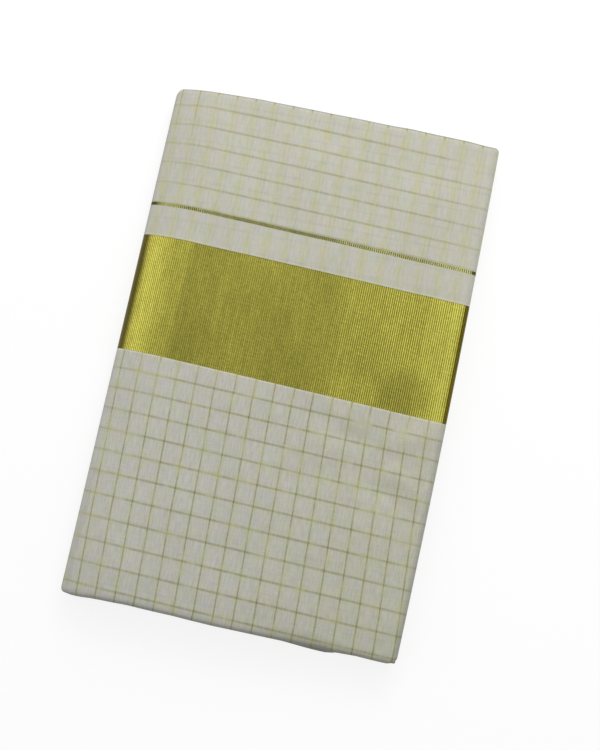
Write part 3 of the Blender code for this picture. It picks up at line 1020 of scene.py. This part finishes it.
# Lines beside a border
LINE_SOFT = 0.00025
TICK_RISE = (0.1, 0.4)
CREAM_LINE = (1.13, 1.12, 1.06)
PALE_LINE = (1.24, 1.23, 1.14)
COTTON_ROUGH = (0.90, 0.80)
COTTON_SHEEN = {"Sheen Weight": 0.10, "Sheen Roughness": 0.5, "Specular IOR Level": 0.25}
COTTON = {
    "color": (0.6, 0.59, 0.512),
    "yellower": 0.01,
    "slubs": 0.05,
    "ends": ("far",),
    "ghost": 0.055,
    "ghost_at": 0.23,
    "warp": {**WARP_THREAD, "core": PAINTED_GLINT_CORE, "ticks": True},
    "weft": {
        **WEFT_THREAD,
        "core": (0.71, 0.71, 0.63),
        "least": 0.66,
        "across": [
            (ACROSS_LOW, 0.35), (-0.1, 0.55), (-0.075, 0.9), (0.0, 1.0), (0.08, 0.92), (0.105, 0.65),
            (ACROSS_HIGH, 0.4),
        ],
        "fades": rows_of(SPOT, (0.118, 0.1805, 0.036, 0.006, -0.9)),
    },
    "painted_light_across": [(ACROSS_LOW, 1.03), (0.0, 1.0), (ACROSS_HIGH, 1.0)],
    "light_and_shade_spots": [],
    "edge_lines": [],
}
COTTON_LOWER = {
    **COTTON,
    "color": (0.6, 0.592, 0.528),
    "painted_light_across": [(ACROSS_LOW, 1.04), (0.0, 1.0), (ACROSS_HIGH, 0.98)],
    "yellower": 0.055,
    "slubs": 0.07,
    "ends": ("near",),
    "ghost": 0.035,
    "ghost_at": -0.30,
    "warp": {**WARP_THREAD, "cast": 0.72, "cast_wide": 0.32},
    "weft": {**WEFT_THREAD, "cast": 0.62},
    # Painted shade and light of the soft wrinkles below the band, and painted shade by the near end's notch
    "light_and_shade_spots": rows_of(
        SPOT,
        (0.058, -0.036, 0.016, 0.009, -0.06),
        (0.084, -0.046, 0.012, 0.01, -0.05),
        (0.098, -0.066, 0.014, 0.007, -0.05),
        (0.072, -0.052, 0.012, 0.006, 0.04),
        (0.024, -0.03, 0.02, 0.009, -0.03),
        (0.06, -0.192, 0.045, 0.013, -0.15),
    ),
    "edge_lines": [{"border": "far", "from": 0.0, "to": 0.0013, "ticks": 0.3, "tint": PALE_LINE}],
}
# No weft thread of the check crosses the gap above the gold band
COTTON_GAP = {
    **COTTON,
    "ends": (),
    "warp": {**WARP_THREAD, "core": PAINTED_GLINT_CORE},
    "weft": None,
    "edge_lines": [{"border": "near", "from": 0.0004, "to": 0.0016, "ticks": 0.7, "tint": CREAM_LINE}],
}
# The hidden leaves' cotton is darker: painted shade where they peep out between the plies
COTTON_INNER_SHADED = {**COTTON, "color": (0.40, 0.40, 0.36)}

# Unevenness of the zari's tone over the cloth, along each rib and along its slightly slanting rows of weft
ROW_SLANT = 0.10
ZARI_UNEVEN = rows_of(
    "over scales detail slice by",
    ("cloth", (60.0, 22.0), 2.0, 0.0, 0.025),
    ("rib", (3.3, 70.0), 2.0, 0.0, 0.08),
    ("row", (120.0, 820.0), 1.0, 5.0, 0.075),
    ("cloth", (330.0, 14.0), 2.0, 8.0, 0.045),
    ("cloth", (520.0, 620.0), 1.0, 13.0, 0.10),
)
KNOTS = (7.9, 520.0)
KNOT_SHARE = 0.28
# Strength of the painted glints on the ribs' crests and the painted shade between them
RIB_PAINTED_GLINT = 0.62
# The first thread by the far border is darker, and painted shade darkens the folds between these places
# across
FIRST_THREAD = (0.0011, 0.0002)
PAINTED_SHADE_ACROSS = [
    ((ROLL_AT - 0.0002, ROLL_AT + 0.0014), (ROLL_AT + 0.0095, ROLL_AT + 0.0065)),
    ((-0.1172, -0.1238), (-0.1360, -0.1300)),
]
FOLD_PAINTED_SHADE_GOLD = (0.17, 0.15, 0.022)
ZARI_ROUGH = (0.44, 0.36)
ZARI_METAL = {"Metallic": 0.85, "Anisotropic": 0.4, "Anisotropic Rotation": 0.25}
ZARI = {
    "color": (0.72, 0.665, 0.112),
    # Painted light and shade across the band: bright on the left shoulder and the right edge, dark in the
    # middle
    "painted_light_across": [
        (ACROSS_LOW, 0.8), (-0.118, 0.79), (-0.114, 0.88), (-0.109, 0.95), (-0.101, 0.92), (-0.093, 0.97),
        (-0.084, 0.74), (-0.075, 0.69), (-0.06, 0.74), (-0.03, 0.74), (0.0, 0.67), (0.03, 0.7),
        (0.042, 0.79), (0.06, 0.74), (0.08, 0.79), (0.09, 0.8), (0.098, 0.94), (0.108, 1.0),
        (0.113, 1.0), (0.116, 1.2), (0.119, 1.1), (0.122, 0.95), (ACROSS_HIGH, 0.9),
    ],
    # Painted shade and a painted highlight where the band is uneven
    "light_and_shade_spots": rows_of(
        SPOT,
        (0.09, -0.002, 0.026, 0.026, -0.26),
        (0.055, -0.006, 0.024, 0.016, 0.16),
    ),
    "first_thread": 0.74,
    # Painted glints on the ribs' crests and painted shade between them, across the band
    "rib_painted_glint": [
        (ACROSS_LOW, 0.8), (-0.1, 0.8), (-0.08, 0.6), (0.01, 0.6), (0.03, 0.72), (0.05, 0.9),
        (0.08, 1.0), (ACROSS_HIGH, 1.0),
    ],
}
ZARI_LINE = {
    "color": (0.66, 0.64, 0.235),
    # Painted light and shade across the zari line
    "painted_light_across": [
        (ACROSS_LOW, 0.55), (-0.118, 0.55), (-0.11, 0.74), (-0.1, 0.68), (-0.092, 0.62), (-0.084, 0.68),
        (-0.074, 0.66), (-0.06, 0.54), (-0.03, 0.5), (0.012, 0.47), (0.028, 0.66), (0.04, 0.58),
        (0.052, 0.74), (0.07, 0.68), (0.1, 0.71), (ACROSS_HIGH, 0.95),
    ],
    "light_and_shade_spots": [],
    "first_thread": 1.0,
    # Painted glints on the ribs' crests and painted shade between them, across the line
    "rib_painted_glint": [
        (ACROSS_LOW, 0.3), (-0.106, 0.3), (-0.098, 0.9), (-0.086, 0.9), (-0.076, 0.2), (0.0, 0.2),
        (0.02, 1.0), (ACROSS_HIGH, 1.0),
    ],
}


def build_cloth():
    """The five woven zones and the hidden leaves."""
    far, near = end_line(1), end_line(-1)
    line_far, line_near, band_far, band_near = (border(name) for name in BORDERS)
    upper = zone_sheet("field_upper", far, line_far, cotton("cotton_upper", COTTON), far_rim=True)
    line = zone_sheet("zari_line", line_far, line_near, zari("zari_line", ZARI_LINE))
    gap = zone_sheet("field_gap", line_near, band_far, cotton("cotton_gap", COTTON_GAP))
    band = zone_sheet("kasavu_band", band_far, band_near, zari("zari_band", ZARI))
    lower_cloth = cotton("cotton_lower", COTTON_LOWER)
    lower = zone_sheet("field_lower", band_near, near, lower_cloth, near_rim=True)
    inner_leaves(cotton("cotton_inner", COTTON_INNER_SHADED))


FLOOR_SIZE = 16.0
FLOOR_DROP = 0.0002
FLOOR_LOOK = {
    "Base Color": (0.25, 0.25, 0.25, 1.0),
    "Roughness": 0.9,
    "Specular IOR Level": 0.1,
    "Emission Color": (1.0, 1.0, 1.0, 1.0),
    "Emission Strength": 0.8,
}
# Studio dome: dimmer where the camera hangs, and darker towards the near side. Each has its direction, the
# cosines where it begins and is full, and the share of the light that is left there.
DOME_RING = 1.15
DOME_DIP = ((-0.16, 0.14, 1.0), math.cos(math.radians(42)), math.cos(math.radians(8)), 0.2)
DOME_DARK = ((0.0, -1.0, 0.1), 0.0, 0.9, 0.35)
KEY_PLACE = (0.07, 0.85, 0.50)
KEY_SIZE = 0.6
KEY_POWER = 4.45


def build_stage():
    """A pale floor, a soft studio dome and one broad soft light."""
    bm = bmesh.new()
    bmesh.ops.create_grid(bm, x_segments=1, y_segments=1, size=FLOOR_SIZE / 2)
    mesh = bpy.data.meshes.new("floor")
    bm.to_mesh(mesh)
    bm.free()
    floor = bpy.data.objects.new("floor", mesh)
    floor.location.z = -FLOOR_DROP
    bpy.context.scene.collection.objects.link(floor)
    g = Graph(bpy.data.materials.new("floor"))
    g.gloss(FLOOR_LOOK)
    mesh.materials.append(g.owner)

    g = Graph(bpy.data.worlds.new("studio"))
    bpy.context.scene.world = g.owner
    place = g.nodes.new("ShaderNodeTexCoord").outputs["Generated"]
    strength = DOME_RING
    for towards, begin, full, share in (DOME_DIP, DOME_DARK):
        dot = g.nodes.new("ShaderNodeVectorMath")
        dot.operation = "DOT_PRODUCT"
        dot.inputs[1].default_value = Vector(towards).normalized()
        g.link(place, dot.inputs[0])
        strength = g.times(strength, g.ramp(dot.outputs["Value"], begin, full, 1.0, share))
    light = g.nodes.new("ShaderNodeBackground")
    g.link(strength, light.inputs["Strength"])
    g.link(light.outputs[0], g.nodes["World Output"].inputs[0])

    data = bpy.data.lights.new("key", "AREA")
    data.shape = "SQUARE"
    data.size = KEY_SIZE
    data.energy = KEY_POWER
    key = bpy.data.objects.new("key", data)
    key.location = KEY_PLACE
    key.rotation_euler = Vector(KEY_PLACE).to_track_quat("Z", "Y").to_euler()
    bpy.context.scene.collection.objects.link(key)


def build_camera():
    data = bpy.data.cameras.new("camera")
    data.lens = CAMERA_LENS
    camera = bpy.data.objects.new("camera", data)
    camera.location = CAMERA_PLACE
    camera.rotation_euler = [math.radians(turn) for turn in CAMERA_TURN]
    bpy.context.scene.collection.objects.link(camera)
    bpy.context.scene.camera = camera


build_cloth()
build_stage()
build_camera()
bpy.context.scene.view_settings.view_transform = "Standard"
